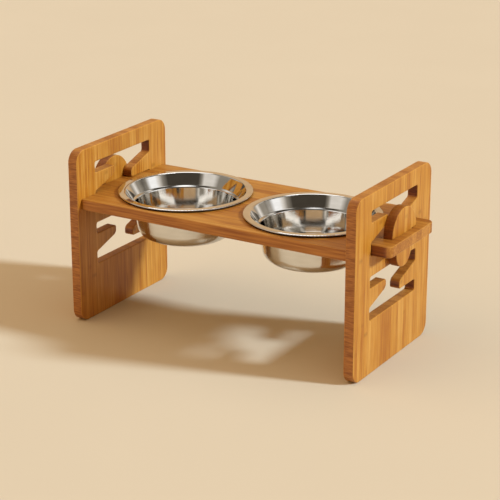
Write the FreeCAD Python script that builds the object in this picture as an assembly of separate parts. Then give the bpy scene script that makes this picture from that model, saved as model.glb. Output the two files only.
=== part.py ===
import FreeCAD, Part
import math
import os

# A raised dog feeder: two slotted bamboo end panels, a bamboo shelf whose tenons pass through
# one slot of each panel and are locked outside by drop-in keys, and two steel bowls on soft rings.
# Millimetres. X runs along the shelf, Y from front to back, Z up. The floor is Z = 0 and the
# origin is on it, under the middle of the shelf.

# Driving dimensions of the bowls
bowl_base_radius = 66.5
bowl_lower_draft = 6.5
bowl_ledge_width = 3.0
bowl_upper_draft = 9.9
bowl_flange_width = 9.6
bowl_depth = 65.0
bowl_ledge_depth = 16.5
bowl_ledge_drop = 2.4
bowl_base_bend = 17.0
bowl_neck_bend = 3.0
bowl_ledge_bend = 2.0
bowl_sheet = 1.0
bowl_hem_width = 4.0
bowl_gap = 14.4

# Driving dimensions of the soft rings under the bowl flanges
ring_thickness = 2.0
ring_setback = 1.3
ring_round = 0.8

# Driving dimensions of the shelf
shelf_thickness = 15.5
shelf_margin = 7.0
shelf_end_margin = 11.8
shelf_corner_radius = 3.0
hole_play = 1.5
tenon_width = 132.0
tenon_end_wood = 12.0
tenon_corner_radius = 10.0

# Driving dimensions of the end panels
panel_thickness = 15.0
panel_overhang = 8.0
panel_corner_radius = 18.0
panel_top_margin = 24.0
lowest_slot = 77.0
slot_pitch = 45.0
slot_play = 0.5
slot_end_play = 1.5
slot_corner_radius = 3.0
finger_root_step = 2.0
finger_gap = 41.0
finger_nose_radius = 3.5
finger_chin_radius = 8.0

# Driving dimensions of the lock keys
key_thickness = 14.5
key_head_radius = 35.5
key_tongue_width = 44.0
key_tongue_length = 47.0
key_play = 0.3
mortise_inset = 0.5

# Soft rounding along the edges of the wooden pieces
panel_edge_round = 1.5
shelf_edge_round = 1.5
key_edge_round = 1.5

# Sizes that follow from the driving dimensions
bowl_ledge_inner = bowl_base_radius + bowl_lower_draft
bowl_ledge_outer = bowl_ledge_inner + bowl_ledge_width
bowl_neck_radius = bowl_ledge_outer + bowl_upper_draft
bowl_rim_radius = bowl_neck_radius + bowl_flange_width
bowl_hem_thickness = 2 * bowl_sheet
bowl_spacing = 2 * bowl_rim_radius + bowl_gap
hole_radius = bowl_neck_radius + bowl_sheet + hole_play

shelf_length = bowl_spacing + 2 * (bowl_rim_radius + shelf_end_margin)
shelf_depth = 2 * (bowl_rim_radius + shelf_margin)
panel_inner_face = shelf_length / 2
panel_outer_face = panel_inner_face + panel_thickness
panel_width = shelf_depth + 2 * panel_overhang

slot_height = shelf_thickness + slot_play
slot_length = tenon_width + 2 * slot_end_play
slot_bottoms = [lowest_slot + slot_pitch * i for i in range(4)]
panel_height = slot_bottoms[3] + slot_height + panel_top_margin

# The shelf lies in the third slot from the floor
shelf_bottom = slot_bottoms[2]
shelf_top = shelf_bottom + shelf_thickness
ring_top = shelf_top + ring_thickness
bowl_rim_top = ring_top + bowl_hem_thickness

key_inner_face = panel_outer_face + key_play
key_outer_face = key_inner_face + key_thickness
mortise_inner = panel_outer_face - mortise_inset
mortise_outer = key_outer_face + key_play
mortise_width = key_tongue_width + 2 * key_play
tenon_end = mortise_outer + tenon_end_wood

UP = FreeCAD.Vector(0, 0, 1)
ORIGIN = FreeCAD.Vector(0, 0, 0)
TOUCHING = 1e-6
FLAT = 0.1


def round_corner(before, corner, after, radius):
    """Start, middle and end of the arc that rounds one corner of an outline."""
    to_before = (before - corner).normalize()
    to_after = (after - corner).normalize()
    half_angle = to_before.getAngle(to_after) / 2
    run = radius / math.tan(half_angle)
    reach = radius / math.sin(half_angle) - radius
    inward = (to_before + to_after).normalize()
    return corner + to_before * run, corner + inward * reach, corner + to_after * run


def outline(corners, place, closed=True):
    """Wire through (a, b, radius) corners, each rounded by its radius. place(a, b) is a point."""
    points = [place(a, b) for a, b, radius in corners]
    count = len(points)
    edges = []
    first_start = None
    last_end = None
    for i, (a, b, radius) in enumerate(corners):
        start = points[i]
        end = points[i]
        arc = None
        if radius > 0:
            start, middle, end = round_corner(points[i - 1], points[i], points[(i + 1) % count], radius)
            arc = Part.Arc(start, middle, end).toShape()
        if last_end is not None and last_end.distanceToPoint(start) > TOUCHING:
            edges.append(Part.LineSegment(last_end, start).toShape())
        if arc is not None:
            edges.append(arc)
        if first_start is None:
            first_start = start
        last_end = end
    if closed and last_end.distanceToPoint(first_start) > TOUCHING:
        edges.append(Part.LineSegment(last_end, first_start).toShape())
    return Part.Wire(edges)


def filled(wires):
    """Flat face inside the first wire, with the other wires as holes."""
    return Part.makeFace(wires, "Part::FaceMakerBullseye")


def soften(board, across, radius):
    """Board with the edges of its two broad faces rounded. across is its thickness, X or Z."""
    thin = {"X": "XLength", "Z": "ZLength"}[across]
    rim_edges = [edge for edge in board.Edges if getattr(edge.BoundBox, thin) < FLAT]
    return board.makeFillet(radius, rim_edges)


def mirrored(shape):
    """Copy of a shape at the left end of the stand."""
    return shape.mirror(ORIGIN, FreeCAD.Vector(1, 0, 0))


def slot_pair(lower_slot_bottom, place):
    """Outline of one Z-shaped cut-out: two level slots joined by a slanted one of the same height.

    A finger of wood from the front and one from the rear separate the three slots.
    The slant follows from where the fingers' undersides meet the ends of the level slots.
    """
    end = slot_length / 2
    low = lower_slot_bottom
    low_top = low + slot_height
    high = low + slot_pitch
    high_top = high + slot_height
    middle = (low + high_top) / 2
    rise = (slot_pitch - slot_height) / 2 - finger_root_step
    slant = math.atan2(rise, end) + math.asin(slot_height / 2 / math.hypot(end, rise))
    half_height = slot_height / 2 / math.cos(slant)
    tip = finger_gap / 2
    chin = middle + half_height - tip * math.tan(slant)
    root = low_top + finger_root_step
    corner = slot_corner_radius
    front_half = [
        (-end, high_top, corner),
        (-end, high, corner),
        (-tip, high, finger_nose_radius),
        (-tip, chin, finger_chin_radius),
        (-end, root, corner),
        (-end, low, corner),
    ]
    rear_half = [(-y, 2 * middle - z, radius) for y, z, radius in front_half]
    return outline(front_half + rear_half, place)


def end_panel():
    """Right end panel: an upright board with rounded corners and two Z-shaped cut-outs."""
    def place(y, z):
        return FreeCAD.Vector(panel_inner_face, y, z)

    half = panel_width / 2
    radius = panel_corner_radius
    board = outline([
        (-half, 0, radius),
        (half, 0, radius),
        (half, panel_height, radius),
        (-half, panel_height, radius),
    ], place)
    cut_outs = [slot_pair(slot_bottoms[0], place), slot_pair(slot_bottoms[2], place)]
    panel = filled([board] + cut_outs).extrude(FreeCAD.Vector(panel_thickness, 0, 0))
    return soften(panel, "X", panel_edge_round)


def shelf_tenon():
    """Right tenon of the shelf, with the mortise that the lock key drops through."""
    def place(x, y):
        return FreeCAD.Vector(x, y, shelf_bottom)

    root = panel_inner_face - shelf_end_margin / 2
    half = tenon_width / 2
    radius = tenon_corner_radius
    tongue = outline([
        (root, -half, 0),
        (tenon_end, -half, radius),
        (tenon_end, half, radius),
        (root, half, 0),
    ], place)
    mortise = outline([
        (mortise_inner, -mortise_width / 2, 0),
        (mortise_outer, -mortise_width / 2, 0),
        (mortise_outer, mortise_width / 2, 0),
        (mortise_inner, mortise_width / 2, 0),
    ], place)
    tenon = filled([tongue]).extrude(UP * shelf_thickness)
    hole = filled([mortise]).extrude(UP * shelf_thickness)
    return soften(tenon, "Z", shelf_edge_round).cut(hole)


def bowl_shelf():
    """Shelf board with two round holes and a tenon at each end, flush with its faces."""
    def place(x, y):
        return FreeCAD.Vector(x, y, shelf_bottom)

    half_length = shelf_length / 2
    half_depth = shelf_depth / 2
    radius = shelf_corner_radius
    board = outline([
        (-half_length, -half_depth, radius),
        (half_length, -half_depth, radius),
        (half_length, half_depth, radius),
        (-half_length, half_depth, radius),
    ], place)
    holes = [
        Part.Wire(Part.makeCircle(hole_radius, place(side * bowl_spacing / 2, 0), UP))
        for side in (-1, 1)
    ]
    shelf = soften(filled([board] + holes).extrude(UP * shelf_thickness), "Z", shelf_edge_round)
    tenon = shelf_tenon()
    return shelf.fuse([tenon, mirrored(tenon)]).removeSplitter()


def lock_key():
    """Right lock key: a half-round head resting on the tenon over a round-ended tongue."""
    def place(y, z):
        return FreeCAD.Vector(key_inner_face, y, z)

    through = FreeCAD.Vector(key_thickness, 0, 0)
    radius = key_head_radius
    half = key_tongue_width / 2
    head = outline([
        (-radius, shelf_top, 0),
        (radius, shelf_top, 0),
        (radius, shelf_top + radius, radius),
        (-radius, shelf_top + radius, radius),
    ], place)
    tongue_top = shelf_top + radius / 2
    tongue_end = shelf_top - key_tongue_length
    tongue = outline([
        (-half, tongue_end, half),
        (half, tongue_end, half),
        (half, tongue_top, 0),
        (-half, tongue_top, 0),
    ], place)
    solids = [soften(filled([wire]).extrude(through), "X", key_edge_round) for wire in (head, tongue)]
    return solids[0].fuse(solids[1]).removeSplitter()


def bowl():
    """Bowl on the Z axis: one spun sheet with a flat flange, a small ledge and a hemmed edge."""
    def place(radius, z):
        return FreeCAD.Vector(radius, 0, z)

    ledge_top = bowl_rim_top - bowl_ledge_depth
    food_floor = bowl_rim_top - bowl_depth
    hem_inner = bowl_rim_radius - bowl_hem_width
    food_side = outline([
        (0, food_floor, 0),
        (bowl_base_radius, food_floor, bowl_base_bend),
        (bowl_ledge_inner, ledge_top - bowl_ledge_drop, bowl_ledge_bend),
        (bowl_ledge_outer, ledge_top, bowl_ledge_bend),
        (bowl_neck_radius, bowl_rim_top, bowl_neck_bend),
        (bowl_rim_radius - bowl_hem_width / 2, bowl_rim_top, 0),
    ], place, closed=False)
    sheet = food_side.makeOffset2D(-bowl_sheet, 0, True, True)
    hem = filled([outline([
        (hem_inner, bowl_rim_top - bowl_hem_thickness, 0),
        (bowl_rim_radius, bowl_rim_top - bowl_hem_thickness, bowl_hem_thickness / 2),
        (bowl_rim_radius, bowl_rim_top, bowl_hem_thickness / 2),
        (hem_inner, bowl_rim_top, 0),
    ], place)])
    spun = [section.revolve(ORIGIN, UP, 360) for section in (sheet, hem)]
    return spun[0].fuse(spun[1]).removeSplitter()


def bowl_ring():
    """Soft ring on the Z axis, between the flange of a bowl and the shelf."""
    def place(radius, z):
        return FreeCAD.Vector(radius, 0, z)

    outer = bowl_rim_radius - ring_setback
    section = filled([outline([
        (hole_radius, shelf_top, 0),
        (outer, shelf_top, ring_round),
        (outer, ring_top, ring_round),
        (hole_radius, ring_top, 0),
    ], place)])
    return section.revolve(ORIGIN, UP, 360)


def export(node, shape):
    """Write one node and print its size."""
    solids = len(shape.Solids)
    print(f"{node}: {solids} solid, valid {shape.isValid()}, {shape.Volume / 1000:.1f} cm3")
    shape.exportStep(f"parts/{node}.step")


os.makedirs("parts", exist_ok=True)

right_panel = end_panel()
export("side_panel_right", right_panel)
export("side_panel_left", mirrored(right_panel))
export("bowl_shelf", bowl_shelf())
right_key = lock_key()
export("lock_key_right", right_key)
export("lock_key_left", mirrored(right_key))
for side_name, side in (("left", -1), ("right", 1)):
    centre = FreeCAD.Vector(side * bowl_spacing / 2, 0, 0)
    export(f"bowl_{side_name}", bowl().translated(centre))
    export(f"bowl_ring_{side_name}", bowl_ring().translated(centre))
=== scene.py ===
import math

import bpy
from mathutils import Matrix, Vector


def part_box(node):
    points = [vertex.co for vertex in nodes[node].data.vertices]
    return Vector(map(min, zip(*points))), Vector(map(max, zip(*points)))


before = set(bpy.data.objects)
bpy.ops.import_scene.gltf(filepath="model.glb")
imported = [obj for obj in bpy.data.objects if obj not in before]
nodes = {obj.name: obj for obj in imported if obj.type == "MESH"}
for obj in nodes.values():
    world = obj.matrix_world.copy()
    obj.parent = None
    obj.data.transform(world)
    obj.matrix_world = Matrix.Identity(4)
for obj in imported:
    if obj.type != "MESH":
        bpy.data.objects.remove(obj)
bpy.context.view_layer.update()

# End panels
# Two upright boards of laminated bamboo: narrow strips glued edge to edge, planed flat, cut with
# Z-shaped slots by a router, sanded round along every edge and finished with satin lacquer.

MM = 0.001


def linear(hex_colour):
    """Linear RGBA from an sRGB hex colour."""
    channels = []
    for start in (1, 3, 5):
        value = int(hex_colour[start:start + 2], 16) / 255
        channels.append(value / 12.92 if value <= 0.04045 else ((value + 0.055) / 1.055) ** 2.4)
    return (*channels, 1.0)


def fill(tree, node, inputs):
    """Link sockets to the inputs of a node, or set numbers on them."""
    for name, value in inputs.items():
        socket = node.inputs[name]
        if isinstance(value, bpy.types.NodeSocket):
            tree.links.new(value, socket)
        else:
            socket.default_value = value


def add(tree, kind, inputs=None, **settings):
    """Add a node, set its properties and fill its inputs. Returns the node."""
    node = tree.nodes.new("ShaderNode" + kind)
    for name, value in settings.items():
        setattr(node, name, value)
    fill(tree, node, inputs or {})
    return node


def calc(tree, operation, *values):
    """Arithmetic on numbers. Returns the result."""
    return add(tree, "Math", dict(enumerate(values)), operation=operation).outputs[0]


def remap(tree, value, start, end, low=0.0, high=1.0, curve="LINEAR"):
    """Carry a value from the span start to end over to the span low to high. Returns the result."""
    spans = {"Value": value, "From Min": start, "From Max": end, "To Min": low, "To Max": high}
    return add(tree, "MapRange", spans, interpolation_type=curve).outputs["Result"]


def blend(tree, share, under, over):
    """Lay a share of one colour over another. Returns the colour."""
    under_socket = 6
    over_socket = 7
    mixed_socket = 2
    inputs = {"Factor": share, under_socket: under, over_socket: over}
    return add(tree, "Mix", inputs, data_type="RGBA").outputs[mixed_socket]


def ramp(tree, value, stops):
    """Turn a value into a colour by (position, hex colour) stops. Returns the colour."""
    node = add(tree, "ValToRGB", {"Fac": value})
    elements = node.color_ramp.elements
    while len(elements) < len(stops):
        elements.new(1.0)
    for element, (position, colour) in zip(elements, stops):
        element.position = position
        element.color = linear(colour)
    return node.outputs["Color"]


def grain(tree, place, sizes, detail=3.0):
    """Noise with lumps of the given X, Y and Z sizes in millimetres. Returns its level."""
    scale = tuple(1 / (size * MM) for size in sizes)
    scaled = add(tree, "Mapping", {"Vector": place, "Scale": scale}).outputs[0]
    return add(tree, "TexNoise", {"Vector": scaled, "Scale": 1.0, "Detail": detail}).outputs["Fac"]


def bump(tree, height, strength, distance):
    """Relief of the given depth in millimetres. Returns the normal."""
    inputs = {"Height": height, "Strength": strength, "Distance": distance * MM}
    return add(tree, "Bump", inputs).outputs["Normal"]


def new_material(name):
    """Empty material. Returns it, its node tree and its shader."""
    material = bpy.data.materials.new(name)
    material.use_nodes = True
    tree = material.node_tree
    tree.nodes.clear()
    shader = add(tree, "BsdfPrincipled")
    add(tree, "OutputMaterial", {"Surface": shader.outputs["BSDF"]})
    return material, tree, shader


def dress(node_name, material):
    """Put a material on every slot of one solid."""
    for slot in nodes[node_name].material_slots:
        slot.material = material


def laminated_bamboo(name, along, thickness, strip_width, tones, edge_grain, edge_tones, routed_reach):
    """Laminated bamboo, sanded and satin lacquered.

    along is the axis of the fibres and thickness the axis of the board's thickness. The eye sees honey
    and caramel strips with thin glue lines, long fibre streaks, a dark dash where a stalk had a joint,
    lines on the sawn edges, a darker, redder painted shade on cut walls within routed_reach millimetres
    of the board's middle, and a painted highlight along the round edges.
    """
    gap_tone = linear("#5e2a0a")
    # Dark red tones of the painted shade inside the slots and holes
    slot_shade_tones = ("#5c280c", "#8a4c1c")
    joint_spacing = 240
    glue_line = 0.4
    slot_shade_fade = 3
    material, tree, shader = new_material(name)
    place = add(tree, "TexCoord").outputs["Object"]
    axes = add(tree, "SeparateXYZ", {"Vector": place}).outputs
    normal = add(tree, "NewGeometry").outputs["Normal"]
    facing = add(tree, "SeparateXYZ", {"Vector": normal}).outputs

    # Strips of uneven width side by side, each with a tone of its own
    row = calc(tree, "MULTIPLY", axes["Y"], 1 / (strip_width * MM))
    strip = {"W": row, "Scale": 1.0, "Randomness": 0.8}
    strips = add(tree, "TexVoronoi", strip, voronoi_dimensions="1D")
    strip_chance = add(tree, "SeparateColor", {"Color": strips.outputs["Color"]}).outputs
    seams = add(tree, "TexVoronoi", strip, voronoi_dimensions="1D", feature="DISTANCE_TO_EDGE")

    # Streaks 5 and 2.5 mm wide, and fibres 1.2 mm wide and 50 mm long. Real fibres are finer: these are
    # drawn coarse enough to show.
    layers = []
    for width, length in ((5, 130), (2.5, 90), (1.2, 50)):
        lump = dict.fromkeys("XYZ", width)
        lump[along] = length
        layers.append(grain(tree, place, lump.values()))
    streaks, fine_streaks, fibres = layers
    clouds = grain(tree, place, (45, 45, 45), detail=2.0)

    # Each layer lifts or lowers the tone by its share
    shares = (
        (strip_chance["Red"], 0.4),
        (streaks, 0.75),
        (fine_streaks, 1.1),
        (fibres, 0.8),
        (clouds, 0.4),
    )
    tone = 0.5 - sum(share for layer, share in shares) / 2
    for layer, share in shares:
        tone = calc(tree, "MULTIPLY_ADD", layer, share, tone)
    colour = ramp(tree, tone, [(0.15, tones[0]), (0.5, tones[1]), (0.85, tones[2])])

    # A soft dark band across some strips where the stalk had a joint, and glue lines between strips
    joint_row = calc(tree, "MULTIPLY_ADD", axes[along], 1 / (joint_spacing * MM), strip_chance["Green"])
    from_joint = calc(tree, "PINGPONG", joint_row, 0.5)
    joint = remap(tree, from_joint, 0.0, 0.02, low=0.7, high=0.0, curve="SMOOTHSTEP")
    joint_here = calc(tree, "MULTIPLY", joint, strip_chance["Blue"])
    joint_broken = calc(tree, "MULTIPLY", joint_here, fibres)
    glue = remap(tree, seams.outputs["Distance"], 0.0, glue_line / strip_width, low=0.35, high=0.0)
    dark_lines = calc(tree, "MAXIMUM", joint_broken, glue)
    colour = blend(tree, dark_lines, colour, gap_tone)

    # Sawn edges: lines of edge_grain millimetres in X, Y and Z. The end grain keeps the strips' own tones.
    square_on = calc(tree, "ABSOLUTE", facing[thickness])
    end_on = calc(tree, "ABSOLUTE", facing[along])
    saw_lines = grain(tree, place, edge_grain)
    end_tone = remap(tree, strip_chance["Red"], 0.0, 1.0, low=-0.12, high=0.16)
    edge_tone = calc(tree, "MULTIPLY_ADD", end_tone, end_on, saw_lines)
    edge_colour = ramp(tree, edge_tone, [(0.33, edge_tones[0]), (0.67, edge_tones[1])])

    # Painted shade: cut walls near the board's middle, inside the slots and holes, get a darker, redder
    # tone that stands in for the shade and red bounce light there
    slot_shade_colour = ramp(tree, saw_lines, [(0.33, slot_shade_tones[0]), (0.67, slot_shade_tones[1])])
    from_middle = calc(tree, "ABSOLUTE", axes["Y"])
    fade_start = (routed_reach + slot_shade_fade) * MM
    fade_end = (routed_reach - slot_shade_fade) * MM
    in_reach = remap(tree, from_middle, fade_start, fade_end)
    not_end = remap(tree, end_on, 0.5, 0.2)
    slot_shade_share = calc(tree, "MULTIPLY", in_reach, not_end)
    edge_colour = blend(tree, slot_shade_share, edge_colour, slot_shade_colour)

    # Dark dots on the end grain, the cut ends of fibre bundles 1.3 mm across
    bundles = grain(tree, place, (1.3, 1.3, 1.3), detail=1.0)
    dots = remap(tree, bundles, 0.54, 0.68, high=0.3)
    end_dots = calc(tree, "MULTIPLY", dots, end_on)
    edge_colour = blend(tree, end_dots, edge_colour, gap_tone)

    # The edges take over from the faces where the surface turns away from the board's thickness
    on_edge = remap(tree, square_on, 0.8, 0.4, curve="SMOOTHSTEP")
    paler_end = remap(tree, end_on, 0.0, 1.0, low=1.0, high=0.6)
    edge_share = calc(tree, "MULTIPLY", on_edge, paler_end)
    colour = blend(tree, edge_share, colour, edge_colour)

    # Painted highlight: paler where the rounded edges catch the light, most where the surface slants at 45
    # degrees
    slant = calc(tree, "POWER", square_on, 2.0)
    slant_left = calc(tree, "SUBTRACT", 1.0, slant)
    edge_highlight_mask = calc(tree, "MULTIPLY", slant, slant_left)
    painted_highlight_share = remap(tree, edge_highlight_mask, 0.0, 0.25, high=0.4)
    colour = blend(tree, painted_highlight_share, colour, linear(tones[2]))

    # Satin lacquer that sinks a little between the fibres
    gloss = remap(tree, streaks, 0.0, 1.0, low=0.36, high=0.52)
    relief = bump(tree, fibres, strength=0.15, distance=0.3)
    fill(tree, shader, {"Base Color": colour, "Roughness": gloss, "Normal": relief})
    return material


upright_tones = ("#a05e18", "#b87b28", "#c99243")
upright_strip = 9
upright_edge_grain = (14, 1.8, 1.8)
upright_routed_reach = 90
panel_bamboo = laminated_bamboo(
    "laminated_bamboo_upright_satin",
    along="Z",
    thickness="X",
    strip_width=upright_strip,
    tones=upright_tones,
    edge_grain=upright_edge_grain,
    edge_tones=("#8a501e", "#ba7c3a"),
    routed_reach=upright_routed_reach,
)
dress("side_panel_left", panel_bamboo)
dress("side_panel_right", panel_bamboo)

# Bowl shelf
# A lying board of the same bamboo with its strips running from end to end. Two round holes carry the
# bowls, and a tenon at each end passes through a slot of the panel.

shelf_bamboo = laminated_bamboo(
    "laminated_bamboo_lying_satin",
    along="X",
    thickness="Z",
    strip_width=14,
    tones=("#8a4e16", "#ab6f26", "#bf893d"),
    edge_grain=(70, 3, 3),
    edge_tones=("#925418", "#bd8038"),
    routed_reach=70,
)
dress("bowl_shelf", shelf_bamboo)

# Lock keys
# Drop-in keys sawn from the same upright bamboo. Their sawn edges are painted darker, a painted shade for
# the shadow on the keys' sides. Each hangs by its half-round head on a tenon, and its tongue drops through
# the tenon's mortise.

key_bamboo = laminated_bamboo(
    "laminated_bamboo_key_satin",
    along="Z",
    thickness="X",
    strip_width=upright_strip,
    tones=upright_tones,
    edge_grain=upright_edge_grain,
    # Darker edge tones: painted shade for the shadow on the keys' sides
    edge_tones=("#6a300c", "#8a4a18"),
    routed_reach=upright_routed_reach,
)
dress("lock_key_left", key_bamboo)
dress("lock_key_right", key_bamboo)

# Bowl rings
# Black silicone rings, moulded, that cling to the neck of each bowl under its flange and keep the steel
# from rattling on the wood. The eye sees a matt black line with a fine grain, and its black also paints
# the shadow gap under each rim.

silicone, silicone_tree, silicone_shader = new_material("moulded_silicone_black")
silicone_place = add(silicone_tree, "TexCoord").outputs["Object"]
silicone_grain = grain(silicone_tree, silicone_place, (0.6, 0.6, 0.6), detail=2.0)
fill(silicone_tree, silicone_shader, {
    "Base Color": ramp(silicone_tree, silicone_grain, [(0.3, "#0d0b09"), (0.7, "#1c1915")]),
    "Roughness": remap(silicone_tree, silicone_grain, 0.0, 1.0, low=0.45, high=0.7),
    "Normal": bump(silicone_tree, silicone_grain, strength=0.2, distance=0.1),
})
dress("bowl_ring_left", silicone)
dress("bowl_ring_right", silicone)

# Bowls
# Spun from one sheet of stainless steel with a flat flange and a hemmed edge, then polished while
# turning. Each bowl hangs in its hole by the flange, loose. The eye sees mirror walls with fine lines
# round them, a satin outside and hem, and a brushed floor.

steel, steel_tree, steel_shader = new_material("spun_polished_stainless_steel")
bowl_low, bowl_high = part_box("bowl_left")
rim_width = bowl_high[0] - bowl_low[0]


def vector(tree, operation, *values, result="Vector"):
    """Arithmetic on vectors. Returns the result."""
    return add(tree, "VectorMath", dict(enumerate(values)), operation=operation).outputs[result]


# Place in the bowl's own box, where each side runs from 0 to 1
box_place = add(steel_tree, "TexCoord").outputs["Generated"]
from_axis = vector(steel_tree, "SUBTRACT", box_place, (0.5, 0.5, 0.0))
level = vector(steel_tree, "MULTIPLY", from_axis, (1.0, 1.0, 0.0))
radius = vector(steel_tree, "LENGTH", level, result="Value")
height_in_box = add(steel_tree, "SeparateXYZ", {"Vector": box_place}).outputs["Z"]

# Polishing lines 0.9 mm apart, drawn coarser than real ones so that they show, and smudges 30 mm wide.
# A bowl is about 0.35 times as high as it is wide.
height_to_width = 0.35
line_spacing = 0.9
smudge_width = 30
climb = calc(steel_tree, "MULTIPLY_ADD", height_in_box, height_to_width, radius)
line_scale = rim_width / (line_spacing * MM)
polish_lines = add(steel_tree, "TexNoise", {"W": climb, "Scale": line_scale, "Detail": 2.0},
                   noise_dimensions="1D").outputs["Fac"]
smudge_scale = rim_width / (smudge_width * MM)
smudges = add(steel_tree, "TexNoise", {"Vector": box_place, "Scale": smudge_scale,
                                       "Detail": 3.0}).outputs["Fac"]

# Mirror polish inside, satin where the surface faces out and along the hem, brushed on the floor
satin_extra = 0.11
brushed_extra = 0.34
polish = remap(steel_tree, smudges, 0.0, 1.0, low=0.02, high=0.06)
outward = vector(steel_tree, "NORMALIZE", level)
steel_normal = add(steel_tree, "NewGeometry").outputs["Normal"]
facing_out = vector(steel_tree, "DOT_PRODUCT", outward, steel_normal, result="Value")
outside = remap(steel_tree, facing_out, 0.05, 0.35)
hem = remap(steel_tree, radius, 0.485, 0.495)
satin_here = calc(steel_tree, "MAXIMUM", outside, hem)
satin = calc(steel_tree, "MULTIPLY_ADD", satin_here, satin_extra, polish)
brushed = remap(steel_tree, height_in_box, 0.05, 0.02, high=brushed_extra)
fill(steel_tree, steel_shader, {
    "Base Color": ramp(steel_tree, smudges, [(0.3, "#d6d3ce"), (0.7, "#e4e2de")]),
    "Metallic": 1.0,
    "Roughness": calc(steel_tree, "ADD", satin, brushed),
    "Anisotropic": 0.85,
    "Anisotropic Rotation": 0.25,
    "Normal": bump(steel_tree, polish_lines, strength=0.04, distance=0.2),
    "Tangent": add(steel_tree, "Tangent", direction_type="RADIAL", axis="Z").outputs["Tangent"],
})
dress("bowl_left", steel)
dress("bowl_right", steel)

# Floor
# A wide sheet of matt beige paper that the end panels stand on. The eye sees one even colour with a
# faint mottle 400 mm wide.

floor_half = 12.0
floor_mesh = bpy.data.meshes.new("floor")
floor_corners = [(x * floor_half, y * floor_half, 0) for x, y in ((-1, -1), (1, -1), (1, 1), (-1, 1))]
floor_mesh.from_pydata(floor_corners, [], [(0, 1, 2, 3)])
floor = bpy.data.objects.new("floor", floor_mesh)
bpy.context.collection.objects.link(floor)
paper, paper_tree, paper_shader = new_material("matt_beige_paper")
paper_place = add(paper_tree, "TexCoord").outputs["Object"]
mottle = grain(paper_tree, paper_place, (400, 400, 400), detail=4.0)
fill(paper_tree, paper_shader, {
    "Base Color": ramp(paper_tree, mottle, [(0.3, "#d3c9b2"), (0.7, "#d5cbb4")]),
    "Roughness": 0.95,
    "Specular IOR Level": 0.0,
})
floor_mesh.materials.append(paper)

# Light
# One soft key light from the right and a little behind, a weaker fill from the front left, and warm
# light from the beige room all round. Polished steel sees the room's white flats and dark gaps, a dark
# ceiling and a bright soft box above the far side.

world = bpy.data.worlds.new("beige_room")
bpy.context.scene.world = world
world.use_nodes = True
room = world.node_tree
room.nodes.clear()
way = add(room, "TexCoord").outputs["Generated"]
height = add(room, "SeparateXYZ", {"Vector": way}).outputs["Z"]

# Flats round the room as (bearing in degrees, tone): 0 is the camera's side and 90 is on its right
camera_bearing = 30.93
white = "#ffffff"
pale = "#dfd9d1"
grey = "#8c857a"
dark = "#443e36"
tan = "#bb9c77"
high_flats = [
    (-150, tan), (-140, grey), (-128, pale), (-118, grey), (-76, grey), (-64, pale), (-42, pale),
    (-36, grey), (-29, dark), (45, dark), (57, grey), (66, pale), (73, white), (86, white),
    (95, grey), (103, dark), (118, dark), (124, pale), (132, grey), (142, tan),
]
low_flats = [
    (-155, tan), (-146, dark), (-124, dark), (-114, grey), (-60, pale), (-40, white), (-34, pale),
    (-26, dark), (34, dark), (46, grey), (54, white), (88, white), (95, pale), (104, grey),
    (118, grey), (126, pale), (134, grey), (144, tan),
]
room_turn = (0, 0, math.radians(90 - camera_bearing))
turned = add(room, "Mapping", {"Vector": way, "Rotation": room_turn}).outputs[0]
bearing = add(room, "TexGradient", {"Vector": turned}, gradient_type="RADIAL").outputs["Fac"]


def ring_of(flats):
    """Flats all round the room. Returns their colour."""
    return ramp(room, bearing, [(angle / 360 + 0.5, tone) for angle, tone in flats])


high_ring = ring_of(high_flats)
low_ring = ring_of(low_flats)
is_high = remap(room, height, 0.36, 0.46)
ceiling = remap(room, height, 0.88, 0.93)
wall_colour = blend(room, is_high, low_ring, high_ring)
room_colour = blend(room, ceiling, wall_colour, linear(dark))
shine = remap(room, is_high, 0.0, 1.0, low=1.45, high=1.2)
room_wall = add(room, "Background", {"Color": room_colour, "Strength": shine})

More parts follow.
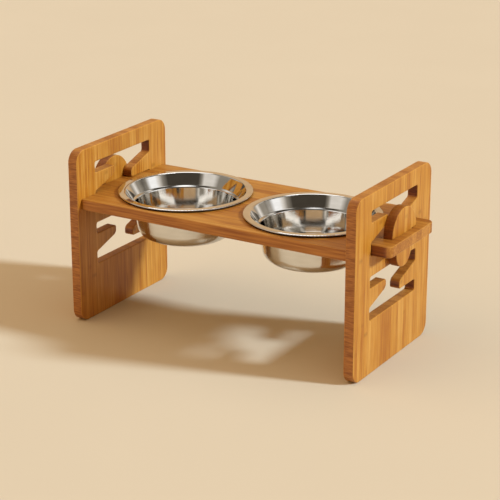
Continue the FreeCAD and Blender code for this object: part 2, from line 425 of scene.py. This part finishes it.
# The soft box, 75 degrees up, with an edge that fades between 19 and 21 degrees from its middle
camera_turn = math.radians(camera_bearing)
box_rise = math.radians(75)
box_level = math.cos(box_rise)
box_way = (-math.sin(camera_turn) * box_level, math.cos(camera_turn) * box_level, math.sin(box_rise))
near_box = vector(room, "DOT_PRODUCT", way, box_way, result="Value")
in_box = remap(room, near_box, math.cos(math.radians(21)), math.cos(math.radians(19)))
soft_box = add(room, "Background", {"Color": linear(white), "Strength": 2.2})


def choose(share, first, second):
    """One light where share is 0 and another where it is 1. Returns the light."""
    return add(room, "MixShader", {0: share, 1: first.outputs[0], 2: second.outputs[0]})


warm_light = add(room, "Background", {"Color": linear("#ffca86"), "Strength": 0.42})
backdrop = add(room, "Background", {"Color": linear("#e3cdb0"), "Strength": 1.0})
path = add(room, "LightPath").outputs
mirrored = choose(in_box, room_wall, soft_box)
unseen = choose(path["Is Glossy Ray"], warm_light, mirrored)
room_light = choose(path["Is Camera Ray"], unseen, backdrop)
add(room, "OutputWorld", {"Surface": room_light.outputs[0]})

for lamp_name, towards, colour, energy, spread in (
    ("key_light", (0.80, 0.24, 0.477), "#e0f0ff", 3.8, 7),
    ("top_light", (0.0, 0.0, 1.0), "#f6fcff", 0.65, 90),
    ("fill_light", (-0.62, -0.50, 0.60), "#ffcf90", 0.75, 70),
):
    light = bpy.data.lights.new(lamp_name, "SUN")
    light.color = linear(colour)[:3]
    light.energy = energy
    light.angle = math.radians(spread)
    lamp = bpy.data.objects.new(lamp_name, light)
    bpy.context.collection.objects.link(lamp)
    lamp.rotation_euler = Vector(towards).to_track_quat("Z", "Y").to_euler()
    lamp.visible_glossy = False

# Camera
# A long lens 2.3 m away, in front and to the right, that looks down 19 degrees at a point between the
# end panels, a little under the middle of their height.

camera = bpy.data.cameras.new("camera")
camera.sensor_width = 36.0
camera.lens = 119.89
camera_object = bpy.data.objects.new("camera", camera)
bpy.context.collection.objects.link(camera_object)
aim = Vector((2.9 * MM, 0, 115.2 * MM))
camera_rise = math.radians(19.40)
distance = 2323.6 * MM
camera_level = math.cos(camera_rise)
back = Vector((
    math.sin(camera_turn) * camera_level,
    -math.cos(camera_turn) * camera_level,
    math.sin(camera_rise),
))
camera_object.location = aim + back * distance
camera_object.rotation_euler = back.to_track_quat("Z", "Y").to_euler()
bpy.context.scene.camera = camera_object
bpy.context.scene.view_settings.view_transform = "Standard"
